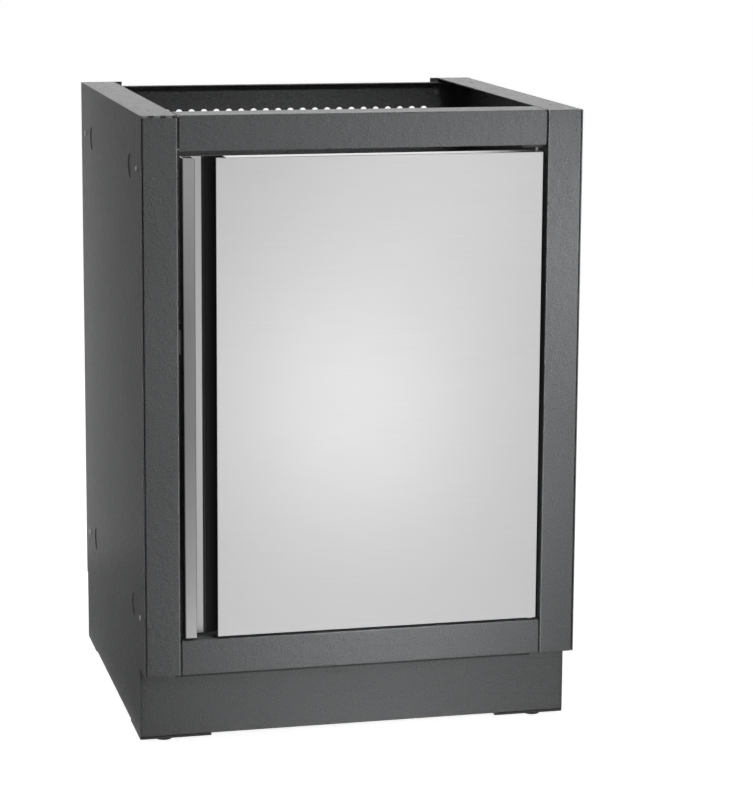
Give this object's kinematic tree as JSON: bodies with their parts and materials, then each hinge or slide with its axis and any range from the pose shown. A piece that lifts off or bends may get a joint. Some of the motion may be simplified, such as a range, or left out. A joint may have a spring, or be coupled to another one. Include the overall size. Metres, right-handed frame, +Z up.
{
  "type": "outdoor kitchen cabinet",
  "caption": "Open-topped outdoor kitchen base cabinet in dark textured sheet steel with one brushed stainless door, full-height finger grip, vented back, toe space and levelling feet",
  "frame": {"origin": "on the floor under the middle of the cabinet's width and depth", "axes": "+Z up, front and door face -Y, +X to the right seen from the front"},
  "size_m": [0.6136, 0.584, 0.876],
  "materials": {
    "powder_coat": "dark grey fine-textured powder coat, satin",
    "brushed_door": "brushed stainless steel, fine grain",
    "brushed_grip": "brushed stainless steel, grain along the grip",
    "door_lining": "dull stainless steel sheet",
    "grip_black": "matt black plastic",
    "dark_steel": "black-painted steel",
    "hinge_steel": "plain stainless steel",
    "zinc_screws": "bright zinc plating",
    "nylon": "natural nylon",
    "catch_plastic": "black moulded plastic",
    "magnet_steel": "plated magnet pole faces",
    "foot_plastic": "black glass-filled nylon"
  },
  "bodies": {
    "cabinet": {"side_panel_left": "powder_coat", "side_panel_right": "powder_coat", "front_post_left": "powder_coat", "front_post_right": "powder_coat", "top_front_rail": "powder_coat", "bottom_front_rail": "powder_coat", "toe_kick": "powder_coat", "rear_base_rail": "powder_coat", "floor_panel": "powder_coat", "floor_stiffener": "powder_coat", "back_panel": "powder_coat", "top_rail_brackets": "dark_steel", "bottom_rail_brackets": "dark_steel", "back_panel_screws": "zinc_screws", "hinge_screws": "zinc_screws", "catch_screws": "zinc_screws", "foot_nuts": "zinc_screws", "side_screws": "zinc_screws", "side_screw_nuts": "zinc_screws", "top_hinge_bracket": "hinge_steel", "bottom_hinge_bracket": "hinge_steel", "top_hinge_pin": "hinge_steel", "bottom_hinge_pin": "hinge_steel", "hinge_washer": "nylon", "catch_housing": "catch_plastic", "catch_magnet": "magnet_steel", "foot_plate_front_left": "dark_steel", "foot_plate_front_right": "dark_steel", "foot_plate_rear_left": "dark_steel", "foot_plate_rear_right": "dark_steel"},
    "door": {"door_skin": "brushed_door", "door_inner_panel": "door_lining", "grip_rail": "brushed_grip", "door_edge_strips": "door_lining", "grip_insert": "grip_black", "grip_back_strip": "grip_black", "top_hinge_bush": "nylon", "bottom_hinge_bush": "nylon", "hinge_reinforcements": "dark_steel", "strike_plate": "hinge_steel", "strike_rivets": "zinc_screws"},
    "foot_front_left": {"foot_stud_front_left": "zinc_screws", "foot_pad_front_left": "foot_plastic"},
    "foot_front_right": {"foot_stud_front_right": "zinc_screws", "foot_pad_front_right": "foot_plastic"},
    "foot_rear_left": {"foot_stud_rear_left": "zinc_screws", "foot_pad_rear_left": "foot_plastic"},
    "foot_rear_right": {"foot_stud_rear_right": "zinc_screws", "foot_pad_rear_right": "foot_plastic"}
  },
  "joints": [
    {"name": "door_hinge", "type": "hinge", "parent": "cabinet", "child": "door", "pos_m": [0.242, -0.283, 0.163], "axis": [0, 0, 1], "range_deg": [0, 105]},
    {"name": "foot_screw_front_left", "type": "slide", "parent": "cabinet", "child": "foot_front_left", "axis": [0, 0, -1], "range_m": [0, 0.02]},
    {"name": "foot_screw_front_right", "type": "slide", "parent": "cabinet", "child": "foot_front_right", "axis": [0, 0, -1], "range_m": [0, 0.02]},
    {"name": "foot_screw_rear_left", "type": "slide", "parent": "cabinet", "child": "foot_rear_left", "axis": [0, 0, -1], "range_m": [0, 0.02]},
    {"name": "foot_screw_rear_right", "type": "slide", "parent": "cabinet", "child": "foot_rear_right", "axis": [0, 0, -1], "range_m": [0, 0.02]}
  ]
}
